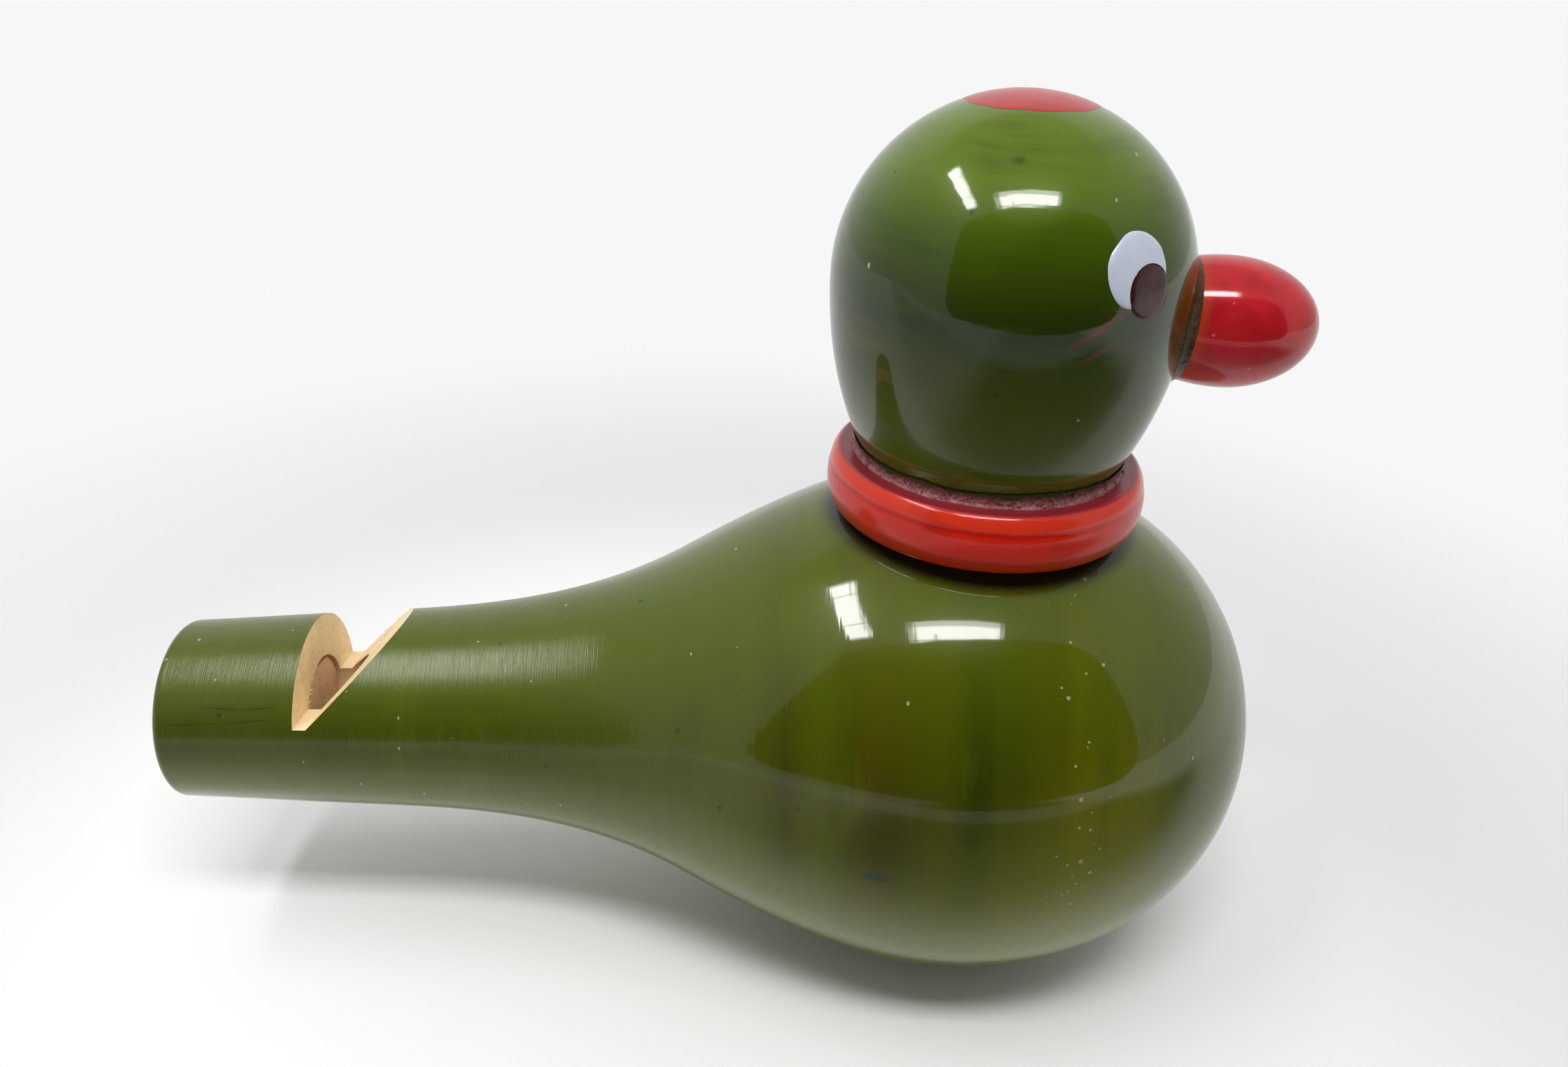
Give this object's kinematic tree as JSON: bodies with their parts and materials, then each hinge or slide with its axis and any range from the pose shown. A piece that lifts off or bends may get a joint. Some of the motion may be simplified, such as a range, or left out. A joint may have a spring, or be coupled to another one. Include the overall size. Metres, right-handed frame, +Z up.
{
  "type": "wooden bird whistle",
  "caption": "Lathe-turned wooden bird whistle: hollow bulb body with a tapering mouthpiece and sound window, red collar, round head with painted eyes and a stubby beak.",
  "frame": {"origin": "on the small flat under the bulb, straight below the bulb's widest ring", "axes": "+X along the body's turning axis towards the chest, +Z up through the collar and head, +Y to the bird's left"},
  "size_m": [0.112, 0.0544, 0.0895],
  "materials": {
    "body": "turned wood under transparent green gloss lacquer",
    "fipple_block": "bare turned wood",
    "chest_cap": "turned wood under transparent green gloss lacquer",
    "collar": "turned wood under red gloss lacquer",
    "neck_dowel": "bare wood",
    "collar_glue": "dried glue tinted by lacquer",
    "head": "turned wood under transparent green gloss lacquer",
    "crown_spot": "red lacquer",
    "beak": "turned wood under red gloss lacquer",
    "beak_glue": "dried glue tinted by lacquer",
    "eye_white": "white enamel",
    "pupil": "dark brown enamel"
  },
  "bodies": {
    "root": {"body": "body", "fipple_block": "fipple_block", "chest_cap": "chest_cap", "collar": "collar", "neck_dowel": "neck_dowel", "collar_glue": "collar_glue", "head": "head", "crown_spot": "crown_spot", "beak": "beak", "beak_glue": "beak_glue", "eye_white_right": "eye_white", "eye_white_left": "eye_white", "pupil_right": "pupil", "pupil_left": "pupil"}
  },
  "joints": []
}
